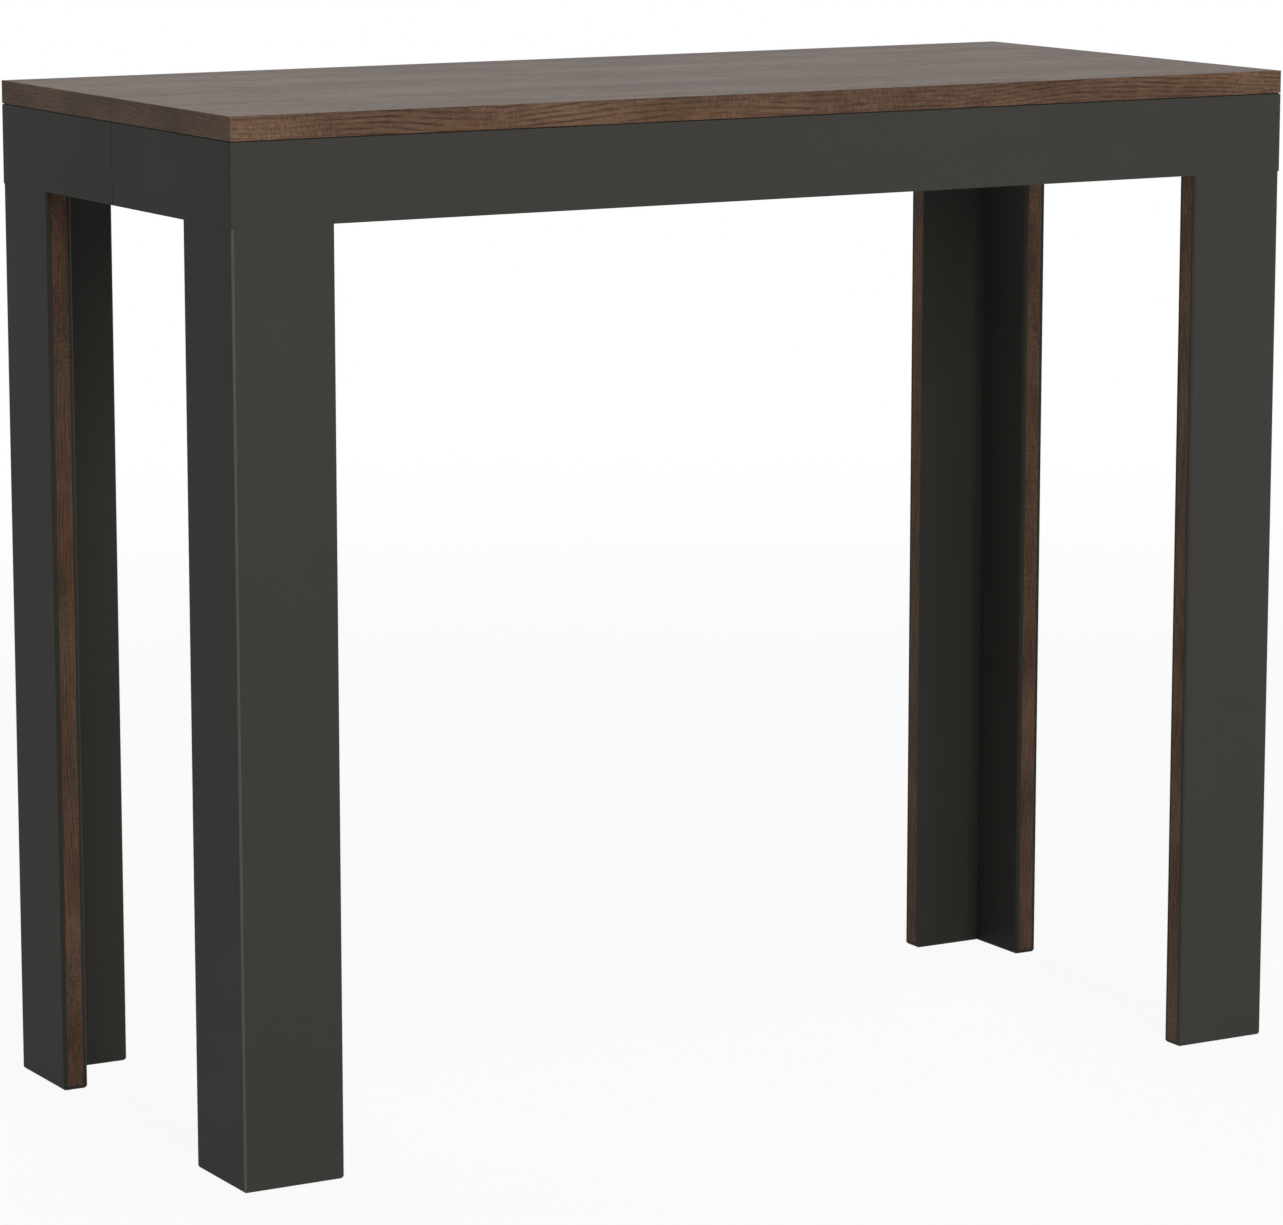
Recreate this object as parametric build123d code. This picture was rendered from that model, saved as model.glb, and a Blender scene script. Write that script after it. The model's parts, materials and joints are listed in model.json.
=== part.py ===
from build123d import *

import os

# Extending console table, drawn closed, in millimetres.
# The origin is on the floor under the middle of the closed table. +X runs along the table, +Y points to the
# wall behind it and +Z is up. The rear half stands still. The front half, with its own pair of legs, pulls
# towards -Y on two banks of interlocking telescopic bars, one near each end of the table.
# Quarter pieces are drawn once, for the rear right quarter, and mirrored into place.

# ---- Table ----
TABLE_LENGTH = 900.0
TABLE_DEPTH = 400.0
TABLE_HEIGHT = 770.0
TOP_THICKNESS = 18.0
TOP_ARRIS = 0.8
APRON_HEIGHT = 60.0
PANEL_THICKNESS = 20.0
SEAM_GAP = 0.4

# ---- Legs: two panels each, mitred at the outer corner ----
LEG_WIDTH = 80.0
LEG_BEVEL = 1.5
EDGE_BAND_THICKNESS = 1.0
EDGE_BAND_SIDE_MARGIN = 2.0
EDGE_BAND_FOOT_MARGIN = 1.5

# ---- Guide bars: extrusions with a T rail on one side and a channel on the other ----
# Each bar slides out of the one before it by its own length less the overlap, six times over in each bank.
BAR_COUNT = 7
STAGE_OVERLAP = 90.0
BAR_HEIGHT = 40.0
BAR_WEB = 8.3
BAR_WALL = 2.0
BAR_SIDE_GAP = 0.6
BAR_TOP_GAP = 0.5
BAR_END_GAP = 5.0
BANK_BRACKET_GAP = 3.0
RAIL_HEAD_HEIGHT = 10.0
RAIL_HEAD_THICKNESS = 2.6
RAIL_NECK_HEIGHT = 4.0
CHANNEL_LIP = 2.5
CHANNEL_MOUTH_GAP = 1.0

# ---- Nylon glides: a liner in the front of each channel, a stop on the rear of each rail ----
GLIDE_WALL = 1.6
GLIDE_GAP = 0.4
STOP_LENGTH = 10.0
END_PLAY = 1.0

# ---- Metal angles ----
BRACKET_WING = 22.0
BRACKET_THICKNESS = 3.0
BRACKET_LEG_LAP = 40.0
BRACKET_APRON_LAP = 44.0
CLEAT_WING = 20.0
CLEAT_THICKNESS = 2.5
CLEAT_LENGTH = 30.0
CLEAT_END_GAP = 8.0
GUIDE_ANGLE_SEAT = 22.0
GUIDE_ANGLE_DROP = 30.0
GUIDE_ANGLE_THICKNESS = 3.0
GUIDE_ANGLE_SETBACK = 8.0
GUIDE_ANGLE_END_MARGIN = 18.0

# ---- Fasteners and dowels ----
SCREW_RADIUS = 2.0
SCREW_LENGTH = 14.0
SCREW_HEAD_RADIUS = 3.8
SCREW_HEAD_HEIGHT = 2.4
SCREW_SIDES = 6
GUIDE_SCREW_POINT = 3.0
CLEARANCE_HOLE_GAP = 0.3
DOWEL_RADIUS = 4.0
DOWEL_LENGTH = 30.0
DOWEL_GLUE_GAP = 0.05
DOWEL_REACH = 10.0
DOWEL_SPACING = 400.0
DOWEL_RUNNING_GAP = 0.4
DOWEL_END_GAP = 2.0

# ---- Worked out from the sizes above ----
HALF_LENGTH = TABLE_LENGTH / 2
HALF_DEPTH = TABLE_DEPTH / 2
SEAM_FACE = SEAM_GAP / 2
TOP_UNDERSIDE = TABLE_HEIGHT - TOP_THICKNESS
APRON_BASE = TOP_UNDERSIDE - APRON_HEIGHT
INNER_X = HALF_LENGTH - PANEL_THICKNESS
INNER_Y = HALF_DEPTH - PANEL_THICKNESS

BAR_LENGTH = 2 * (INNER_Y - BAR_END_GAP)
LINER_LENGTH = STAGE_OVERLAP - STOP_LENGTH - END_PLAY
RAIL_NECK = BAR_SIDE_GAP + CHANNEL_LIP + GLIDE_WALL + GLIDE_GAP
CAVITY_DEPTH = RAIL_HEAD_THICKNESS + 2 * (GLIDE_GAP + GLIDE_WALL)
CAVITY_HEIGHT = RAIL_HEAD_HEIGHT + 2 * (GLIDE_GAP + GLIDE_WALL)
BAR_WIDTH = BAR_WEB + CAVITY_DEPTH + CHANNEL_LIP
BAR_PITCH = BAR_WIDTH + BAR_SIDE_GAP
BAR_MIDDLE_Z = TOP_UNDERSIDE - BAR_TOP_GAP - BAR_HEIGHT / 2
BANK_OUTER_X = INNER_X - BRACKET_WING - BANK_BRACKET_GAP

BRACKET_LINE = (BRACKET_WING + BRACKET_THICKNESS) / 2
CLEAT_LINE = (CLEAT_WING + CLEAT_THICKNESS) / 2
GUIDE_SEAT_LINE = (GUIDE_ANGLE_SEAT + GUIDE_ANGLE_THICKNESS) / 2
END_CLEAT_Y = INNER_Y - BRACKET_WING - CLEAT_END_GAP - CLEAT_LENGTH / 2
GUIDE_ANGLE_NEAR = SEAM_FACE + GUIDE_ANGLE_SETBACK
GUIDE_ANGLE_FAR = END_CLEAT_Y - CLEAT_LENGTH / 2 - CLEAT_END_GAP
GUIDE_ANGLE_LENGTH = GUIDE_ANGLE_FAR - GUIDE_ANGLE_NEAR
GUIDE_ANGLE_MIDDLE = (GUIDE_ANGLE_FAR + GUIDE_ANGLE_NEAR) / 2
GUIDE_FIXING_REACH = GUIDE_ANGLE_LENGTH / 2 - GUIDE_ANGLE_END_MARGIN
GUIDE_SCREW_LENGTH = GUIDE_ANGLE_THICKNESS + BAR_WALL + GUIDE_SCREW_POINT

ENDS = ("left", "right")
HALVES = ("rear", "front")


# ---- General shapes ----
def outline(points):
    """A flat face with straight sides through the points."""
    return make_face(Polyline(*points, close=True))


def board(points, base, height):
    """A board cut to a plan outline."""
    return extrude(Plane.XY.offset(base) * outline(points), height)


def angle(wing_x, wing_y, thickness, length):
    """An angle section along Z, with its outside corner at the origin and its wings along -X and -Y."""
    points = [
        (0, 0),
        (-wing_x, 0),
        (-wing_x, -thickness),
        (-thickness, -thickness),
        (-thickness, -wing_y),
        (0, -wing_y),
    ]
    return extrude(outline(points), length / 2, both=True)


def rod(radius, length):
    """A round rod that starts at the origin and runs along +Z."""
    return extrude(Circle(radius), length)


def into_quarter(piece, end, half):
    """Mirrors a piece drawn for the rear right quarter."""
    if end == "left":
        piece = mirror(piece, about=Plane.YZ)
    if half == "front":
        piece = mirror(piece, about=Plane.XZ)
    return piece


def save(name, *solids):
    """Writes one node, which is a group where it has several solids."""
    shape = solids[0] if len(solids) == 1 else Compound(children=list(solids))
    export_step(shape, f"parts/{name}.step")


# ---- Fasteners: each lies along +Z of its seat plane, with the head under the plane's origin ----
def screw(length):
    """A hexagon-head screw: the head lies below the seat, the shank above it, where it cuts its own thread."""
    head = extrude(RegularPolygon(SCREW_HEAD_RADIUS, SCREW_SIDES), -SCREW_HEAD_HEIGHT)
    shank = extrude(RegularPolygon(SCREW_RADIUS, SCREW_SIDES), length)
    return head + shank


def clearance_holes(seats, thickness):
    """The holes that the seats' shanks pass through in a metal wing."""
    hole = rod(SCREW_RADIUS + CLEARANCE_HOLE_GAP, thickness)
    return [seat * hole for seat in seats]


# ---- Fixing seats of the rear right quarter ----
def bracket_seats():
    """Two screws in each wing of the corner bracket, one into the leg and one into the apron."""
    seats = []
    for z in (APRON_BASE - BRACKET_LEG_LAP / 2, APRON_BASE + BRACKET_APRON_LAP / 2):
        on_end = (INNER_X - BRACKET_THICKNESS, INNER_Y - BRACKET_LINE, z)
        on_back = (INNER_X - BRACKET_LINE, INNER_Y - BRACKET_THICKNESS, z)
        seats.append(Plane(on_end, z_dir=(1, 0, 0)))
        seats.append(Plane(on_back, z_dir=(0, 1, 0)))
    return seats


def cleat_planes():
    """Where the rear cleats sit, with local +Y up: mid-way along the long apron, and on both end aprons."""
    planes = [Plane((0, INNER_Y, TOP_UNDERSIDE), x_dir=(0, 1, 0), z_dir=(1, 0, 0))]
    for side in (-1, 1):
        corner = (side * INNER_X, END_CLEAT_Y, TOP_UNDERSIDE)
        planes.append(Plane(corner, x_dir=(side, 0, 0), z_dir=(0, -side, 0)))
    return planes


def cleat_seats():
    """One screw up into the top and one sideways into the apron, for each cleat."""
    seats = []
    for plane in cleat_planes():
        up = plane.from_local_coords((-CLEAT_LINE, -CLEAT_THICKNESS, 0))
        out = plane.from_local_coords((-CLEAT_THICKNESS, -CLEAT_LINE, 0))
        seats.append(Plane(up, z_dir=plane.y_dir))
        seats.append(Plane(out, z_dir=plane.x_dir))
    return seats


def bar_outer_x(number):
    """The outer side face of a bar of the right bank; bar 1 is the outermost."""
    return BANK_OUTER_X - (number - 1) * BAR_PITCH


def guide_angle_plane(half):
    """The rear angle hangs the first bar by its outer face, the front one the last bar by its inner face."""
    if half == "rear":
        corner = (BANK_OUTER_X, GUIDE_ANGLE_MIDDLE, TOP_UNDERSIDE)
        return Plane(corner, x_dir=(-1, 0, 0), z_dir=(0, 1, 0))
    corner = (bar_outer_x(BAR_COUNT) - BAR_WIDTH, -GUIDE_ANGLE_MIDDLE, TOP_UNDERSIDE)
    return Plane(corner, x_dir=(1, 0, 0), z_dir=(0, -1, 0))


def guide_seats(half):
    """The right bank's fixings: screws up into the top, and screws sideways into the bar."""
    plane = guide_angle_plane(half)
    screws = []
    bar_screws = []
    for along in (-GUIDE_FIXING_REACH, GUIDE_FIXING_REACH):
        up = plane.from_local_coords((-GUIDE_SEAT_LINE, -GUIDE_ANGLE_THICKNESS, along))
        screws.append(Plane(up, z_dir=plane.y_dir))
        side = plane.from_local_coords((-GUIDE_ANGLE_THICKNESS, BAR_MIDDLE_Z - TOP_UNDERSIDE, along))
        bar_screws.append(Plane(side, z_dir=plane.x_dir))
    return screws, bar_screws


# ---- Top and aprons ----
def dowel_seats():
    """The seam points of the dowels, pointing into the rear half."""
    height = TABLE_HEIGHT - TOP_THICKNESS / 2
    return [Plane((side * DOWEL_SPACING / 2, -SEAM_FACE, height), z_dir=(0, 1, 0)) for side in (-1, 1)]


def dowel(seat):
    """One dowel: glued into the front top, and standing out of its seam edge."""
    return seat * Pos(0, 0, DOWEL_REACH - DOWEL_LENGTH) * rod(DOWEL_RADIUS, DOWEL_LENGTH)


def dowel_hole(seat, half):
    """The glued socket in the front top, or the running hole in the rear one."""
    if half == "front":
        socket = rod(DOWEL_RADIUS + DOWEL_GLUE_GAP, DOWEL_LENGTH - DOWEL_REACH)
        return seat * Pos(0, 0, DOWEL_REACH - DOWEL_LENGTH) * socket
    return seat * rod(DOWEL_RADIUS + DOWEL_RUNNING_GAP, DOWEL_REACH + DOWEL_END_GAP)


def half_top(half):
    """One half of the top, with a small arris on its outer edges and square edges at the seam."""
    points = [
        (-HALF_LENGTH, SEAM_FACE),
        (HALF_LENGTH, SEAM_FACE),
        (HALF_LENGTH, HALF_DEPTH),
        (-HALF_LENGTH, HALF_DEPTH),
    ]
    slab = board(points, TOP_UNDERSIDE, TOP_THICKNESS)
    faces = slab.faces().sort_by(Axis.Z)
    rims = faces[0].edges() + faces[-1].edges()
    outer = [edge for edge in rims if edge.center().Y > SEAM_FACE + TOP_ARRIS]
    slab = into_quarter(chamfer(outer, TOP_ARRIS), "right", half)
    return slab - [dowel_hole(seat, half) for seat in dowel_seats()]


def long_apron(half):
    """The board under the long edge of one half, mitred at both ends."""
    points = [
        (-HALF_LENGTH, HALF_DEPTH),
        (HALF_LENGTH, HALF_DEPTH),
        (INNER_X, INNER_Y),
        (-INNER_X, INNER_Y),
    ]
    return into_quarter(board(points, APRON_BASE, APRON_HEIGHT), "right", half)


def end_apron(end, half):
    """The board under a short edge, from the mitred corner to the seam."""
    points = [
        (HALF_LENGTH, HALF_DEPTH),
        (HALF_LENGTH, SEAM_FACE),
        (INNER_X, SEAM_FACE),
        (INNER_X, INNER_Y),
    ]
    return into_quarter(board(points, APRON_BASE, APRON_HEIGHT), end, half)


# ---- Legs ----
def leg_post():
    """Both panels of the rear right leg in one: an L in plan, bevelled on its edges and round its foot."""
    free_x = HALF_LENGTH - LEG_WIDTH
    free_y = HALF_DEPTH - LEG_WIDTH
    points = [
        (HALF_LENGTH - LEG_BEVEL, HALF_DEPTH),
        (free_x + LEG_BEVEL, HALF_DEPTH),
        (free_x, HALF_DEPTH - LEG_BEVEL),
        (free_x, INNER_Y + LEG_BEVEL),
        (free_x + LEG_BEVEL, INNER_Y),
        (INNER_X, INNER_Y),
        (INNER_X, free_y + LEG_BEVEL),
        (INNER_X + LEG_BEVEL, free_y),
        (HALF_LENGTH - LEG_BEVEL, free_y),
        (HALF_LENGTH, free_y + LEG_BEVEL),
        (HALF_LENGTH, HALF_DEPTH - LEG_BEVEL),
    ]
    post = board(points, 0, APRON_BASE)
    foot = post.faces().sort_by(Axis.Z)[0]
    return chamfer(foot.edges(), LEG_BEVEL)


def leg_bands():
    """The two edge bands of the rear right leg, let into the flats of its free edges."""
    band_width = PANEL_THICKNESS - 2 * (LEG_BEVEL + EDGE_BAND_SIDE_MARGIN)
    base = LEG_BEVEL + EDGE_BAND_FOOT_MARGIN
    depth = EDGE_BAND_THICKNESS
    free_x = HALF_LENGTH - LEG_WIDTH
    free_y = HALF_DEPTH - LEG_WIDTH
    middle_x = HALF_LENGTH - PANEL_THICKNESS / 2
    middle_y = HALF_DEPTH - PANEL_THICKNESS / 2
    on_back = Pos(free_x + depth / 2, middle_y) * Rectangle(depth, band_width)
    on_end = Pos(middle_x, free_y + depth / 2) * Rectangle(band_width, depth)
    return [extrude(Plane.XY.offset(base) * face, APRON_BASE - base) for face in (on_back, on_end)]


def leg_panels():
    """The rear right leg's back panel and end panel, parted on the mitre and rebated for their bands."""
    post = leg_post() - leg_bands()
    mitre = Plane((HALF_LENGTH, HALF_DEPTH, 0), z_dir=(-1, 1, 0))
    back = split(post, bisect_by=mitre, keep=Keep.TOP)
    end = split(post, bisect_by=mitre, keep=Keep.BOTTOM)
    return back, end


# ---- Guide bars ----
def block(low_x, high_x, height, middle=0.0):
    """A rectangle of a bar's section, between two distances from the bar's outer side face."""
    return Pos((low_x + high_x) / 2, middle) * Rectangle(high_x - low_x, height)


def bar_section(has_rail, has_channel):
    """A bar's extruded section: local +X points to the next bar, and the rail stands out on -X."""
    section = block(0, BAR_WIDTH, BAR_HEIGHT)
    inner = BAR_WIDTH - BAR_WALL
    if has_rail:
        section += block(-RAIL_NECK, 0, RAIL_NECK_HEIGHT)
        section += block(-RAIL_NECK - RAIL_HEAD_THICKNESS, -RAIL_NECK, RAIL_HEAD_HEIGHT)
    if has_channel:
        section -= block(BAR_WEB, BAR_WEB + CAVITY_DEPTH, CAVITY_HEIGHT)
        section -= block(BAR_WEB, BAR_WIDTH, RAIL_NECK_HEIGHT + 2 * CHANNEL_MOUTH_GAP)
        inner = BAR_WEB - BAR_WALL
    section -= block(BAR_WALL, inner, CAVITY_HEIGHT)
    chamber_base = CAVITY_HEIGHT / 2 + BAR_WALL
    chamber_height = BAR_HEIGHT / 2 - BAR_WALL - chamber_base
    for side in (-1, 1):
        middle = side * (chamber_base + chamber_height / 2)
        section -= block(BAR_WALL, BAR_WIDTH - BAR_WALL, chamber_height, middle)
    return section


def glide_section(play):
    """A C that wraps a rail's head at the given play, open towards the rail's own bar."""
    head_x = RAIL_HEAD_THICKNESS / 2 + play
    head_height = RAIL_HEAD_HEIGHT + 2 * play
    section = block(-head_x - GLIDE_WALL, head_x + GLIDE_WALL, head_height + 2 * GLIDE_WALL)
    section -= block(-head_x, head_x, head_height)
    section -= block(0, head_x + GLIDE_WALL, RAIL_NECK_HEIGHT + 2 * play)
    return section


def along_bank(section, x, start, length):
    """Extrudes a section of the right bank along +Y, from a start measured from the bars' front end."""
    origin = (x, start - BAR_LENGTH / 2, BAR_MIDDLE_Z)
    return extrude(Plane(origin, x_dir=(-1, 0, 0), z_dir=(0, 1, 0)) * section, length)


def rail_middle_x(number):
    """The middle of a bar's rail head, which runs in the channel of the bar before it."""
    return bar_outer_x(number) + RAIL_NECK + RAIL_HEAD_THICKNESS / 2


def guide_bar(number):
    """A bar of the right bank. The first has no rail and the last no channel."""
    section = bar_section(number > 1, number < BAR_COUNT)
    return along_bank(section, bar_outer_x(number), 0, BAR_LENGTH)


def guide_glides(number):
    """The nylon pieces on a bar of the right bank: its channel's liner and its rail's end stop."""
    glides = []
    if number < BAR_COUNT:
        liner = glide_section(GLIDE_GAP)
        glides.append(along_bank(liner, rail_middle_x(number + 1), 0, LINER_LENGTH))
    if number > 1:
        stop = glide_section(0)
        glides.append(along_bank(stop, rail_middle_x(number), BAR_LENGTH - STOP_LENGTH, STOP_LENGTH))
    return glides


# ---- Metal angles ----
def leg_bracket():
    """The rear right corner bracket, from the leg's inner faces up to the aprons'."""
    length = BRACKET_LEG_LAP + BRACKET_APRON_LAP
    middle = APRON_BASE + (BRACKET_APRON_LAP - BRACKET_LEG_LAP) / 2
    wings = angle(BRACKET_WING, BRACKET_WING, BRACKET_THICKNESS, length)
    return Pos(INNER_X, INNER_Y, middle) * wings - clearance_holes(bracket_seats(), BRACKET_THICKNESS)


def top_cleats():
    """The rear half's cleats between top and aprons."""
    cleat = angle(CLEAT_WING, CLEAT_WING, CLEAT_THICKNESS, CLEAT_LENGTH)
    holes = clearance_holes(cleat_seats(), CLEAT_THICKNESS)
    return [plane * cleat - holes for plane in cleat_planes()]


def guide_angle(half):
    """The right bank's hanger on one half of the top."""
    screws, bar_screws = guide_seats(half)
    wings = angle(GUIDE_ANGLE_SEAT, GUIDE_ANGLE_DROP, GUIDE_ANGLE_THICKNESS, GUIDE_ANGLE_LENGTH)
    return guide_angle_plane(half) * wings - clearance_holes(screws + bar_screws, GUIDE_ANGLE_THICKNESS)


# ---- The table ----
def save_boards():
    """Tops, aprons and the mitred leg panels with their edge bands."""
    back_panel, end_panel = leg_panels()
    for half in HALVES:
        save(f"{half}_top", half_top(half))
        save(f"{half}_apron", long_apron(half))
        face_name = "back" if half == "rear" else "front"
        for end in ENDS:
            save(f"{half}_{end}_apron", end_apron(end, half))
            leg = f"{half}_{end}_leg"
            save(f"{leg}_{face_name}_panel", into_quarter(back_panel, end, half))
            save(f"{leg}_end_panel", into_quarter(end_panel, end, half))
            save(f"{leg}_edge_bands", *[into_quarter(band, end, half) for band in leg_bands()])
    save("seam_dowels", *[dowel(seat) for seat in dowel_seats()])


def save_fittings():
    """Brackets, cleats, guide angles and their screws, one group of each kind per half."""
    for half in HALVES:
        hanger_seats, bar_seats = guide_seats(half)
        brackets = []
        angles = []
        screws = [into_quarter(seat * screw(SCREW_LENGTH), "right", half) for seat in cleat_seats()]
        bar_screws = []
        for end in ENDS:
            brackets.append(into_quarter(leg_bracket(), end, half))
            angles.append(into_quarter(guide_angle(half), end, "rear"))
            screws += [into_quarter(seat * screw(SCREW_LENGTH), end, half) for seat in bracket_seats()]
            screws += [into_quarter(seat * screw(SCREW_LENGTH), end, "rear") for seat in hanger_seats]
            bar_screws += [into_quarter(seat * screw(GUIDE_SCREW_LENGTH), end, "rear") for seat in bar_seats]
        save(f"{half}_leg_brackets", *brackets)
        save(f"{half}_top_cleats", *[into_quarter(cleat, "right", half) for cleat in top_cleats()])
        save(f"{half}_guide_angles", *angles)
        save(f"{half}_screws", *screws)
        save(f"{half}_guide_screws", *bar_screws)


def save_guides():
    """Both banks of telescopic bars, with the nylon pieces that ride on each bar."""
    for number in range(1, BAR_COUNT + 1):
        bar = guide_bar(number)
        glides = guide_glides(number)
        for end in ENDS:
            save(f"{end}_guide_bar_{number}", into_quarter(bar, end, "rear"))
            save(f"{end}_guide_glides_{number}", *[into_quarter(glide, end, "rear") for glide in glides])


os.makedirs("parts", exist_ok=True)
save_boards()
save_fittings()
save_guides()
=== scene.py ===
"""Extending console table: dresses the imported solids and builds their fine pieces, in metres."""

import json
import logging
import math
from abc import ABC, abstractmethod
from collections.abc import Callable, Sequence
from dataclasses import dataclass, replace
from enum import Enum
from typing import Any

import bmesh
import bpy
from mathutils import Matrix, Vector

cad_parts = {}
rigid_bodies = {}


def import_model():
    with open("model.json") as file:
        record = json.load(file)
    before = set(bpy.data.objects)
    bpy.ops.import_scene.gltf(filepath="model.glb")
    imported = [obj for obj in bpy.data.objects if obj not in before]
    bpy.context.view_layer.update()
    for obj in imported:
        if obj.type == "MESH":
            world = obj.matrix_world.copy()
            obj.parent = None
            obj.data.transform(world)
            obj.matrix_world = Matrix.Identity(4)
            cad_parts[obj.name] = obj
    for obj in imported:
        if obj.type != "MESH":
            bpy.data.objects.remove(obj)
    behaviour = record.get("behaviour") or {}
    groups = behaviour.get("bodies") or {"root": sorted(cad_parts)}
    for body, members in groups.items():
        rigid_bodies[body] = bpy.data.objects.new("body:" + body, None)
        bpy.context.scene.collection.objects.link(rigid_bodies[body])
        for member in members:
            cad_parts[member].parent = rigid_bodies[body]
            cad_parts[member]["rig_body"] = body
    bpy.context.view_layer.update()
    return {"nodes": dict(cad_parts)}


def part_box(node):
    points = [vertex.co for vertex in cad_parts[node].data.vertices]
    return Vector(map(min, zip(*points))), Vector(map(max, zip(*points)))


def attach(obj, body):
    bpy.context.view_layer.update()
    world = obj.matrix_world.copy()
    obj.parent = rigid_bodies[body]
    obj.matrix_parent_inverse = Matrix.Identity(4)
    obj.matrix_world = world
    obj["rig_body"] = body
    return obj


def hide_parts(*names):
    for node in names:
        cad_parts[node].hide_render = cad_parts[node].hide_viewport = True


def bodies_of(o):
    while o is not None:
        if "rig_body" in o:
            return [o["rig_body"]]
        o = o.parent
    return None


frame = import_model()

LOG = logging.getLogger("console_table")

Colour = tuple[float, float, float, float]
Point2 = tuple[float, float]
Point3 = tuple[float, float, float]

MM = 0.001
WELD = 1e-6
FLAT = math.radians(1)
SHARP = math.radians(20)
SMOOTH = math.radians(32)
CORNER_SHARE = 0.45
SLANT = 0.01
MITRE_AREA = 0.0012
FINE_RELIEF = 0.03 * MM
AXES: tuple[Point3, ...] = ((1.0, 0.0, 0.0), (0.0, 1.0, 0.0), (0.0, 0.0, 1.0))
UP = AXES[2]
MEAN = (0.33, 0.33, 0.33)
WHITE: Colour = (1.0, 1.0, 1.0, 1.0)


def tone(red: int, green: int, blue: int) -> Colour:
    """Turns a display colour into a linear one.

    Args:
        red: Red, from 0 to 255.
        green: Green, from 0 to 255.
        blue: Blue, from 0 to 255.

    Returns:
        The linear colour, opaque.
    """
    linear = []
    for part in (red, green, blue):
        share = part / 255
        linear.append(share / 12.92 if share <= 0.04045 else ((share + 0.055) / 1.055) ** 2.4)
    return (linear[0], linear[1], linear[2], 1.0)


class Half(Enum):
    """The two halves of the table. Each half's body has its name."""

    REAR = "rear"
    FRONT = "front"

    @property
    def body(self) -> str:
        """The body that this half's pieces ride on."""
        return f"{self.value}_half"

    @property
    def inward(self) -> float:
        """The direction along Y from this half to the seam."""
        return -1.0 if self is Half.REAR else 1.0


class End(Enum):
    """The two ends of the table."""

    LEFT = "left"
    RIGHT = "right"

    @property
    def outward(self) -> float:
        """The direction along X from the middle to this end."""
        return -1.0 if self is End.LEFT else 1.0


class Grain(Enum):
    """Directions along the grain, across it on the face that shows, and into the board."""

    TOP = AXES
    LONG_EDGE = ((1.0, 0.0, 0.0), (0.0, 0.0, 1.0), (0.0, 1.0, 0.0))
    SHORT_EDGE = ((0.0, 1.0, 0.0), (0.0, 0.0, 1.0), (1.0, 0.0, 0.0))
    UPRIGHT = ((0.0, 0.0, 1.0), (1.0, 1.0, 0.0), (1.0, -1.0, 0.0))
    DOWEL = ((0.0, 1.0, 0.0), (1.0, 0.0, 0.0), (0.0, 0.0, 1.0))


# ---------------------------------------------------------------------------
# Shader graphs
# ---------------------------------------------------------------------------
class Socket:
    """A node's output. Arithmetic on it adds the Math nodes that do the sum."""

    def __init__(self, graph: "Graph", link: bpy.types.NodeSocket) -> None:
        """Keeps the graph that new nodes go into, and the output."""
        self.graph = graph
        self.link = link

    def output(self, name: str | int) -> "Socket":
        """Returns another output of the same node."""
        return Socket(self.graph, self.link.node.outputs[name])

    def _sum(self, operation: str, left: "Socket | float", right: "Socket | float") -> "Socket":
        """Adds one Math node."""
        return self.graph.node("ShaderNodeMath", {"operation": operation}, {0: left, 1: right})

    def __add__(self, other: "Socket | float") -> "Socket":
        """Adds."""
        return self._sum("ADD", self, other)

    def __radd__(self, other: float) -> "Socket":
        """Adds to a number."""
        return self._sum("ADD", other, self)

    def __sub__(self, other: "Socket | float") -> "Socket":
        """Subtracts."""
        return self._sum("SUBTRACT", self, other)

    def __rsub__(self, other: float) -> "Socket":
        """Subtracts from a number."""
        return self._sum("SUBTRACT", other, self)

    def __mul__(self, other: "Socket | float") -> "Socket":
        """Multiplies."""
        return self._sum("MULTIPLY", self, other)

    def __rmul__(self, other: float) -> "Socket":
        """Multiplies a number."""
        return self._sum("MULTIPLY", other, self)

    def __pow__(self, other: "Socket | float") -> "Socket":
        """Raises to a power."""
        return self._sum("POWER", self, other)

    def __rpow__(self, other: float) -> "Socket":
        """Raises a number to this power."""
        return self._sum("POWER", other, self)


Value = Socket | float


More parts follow.
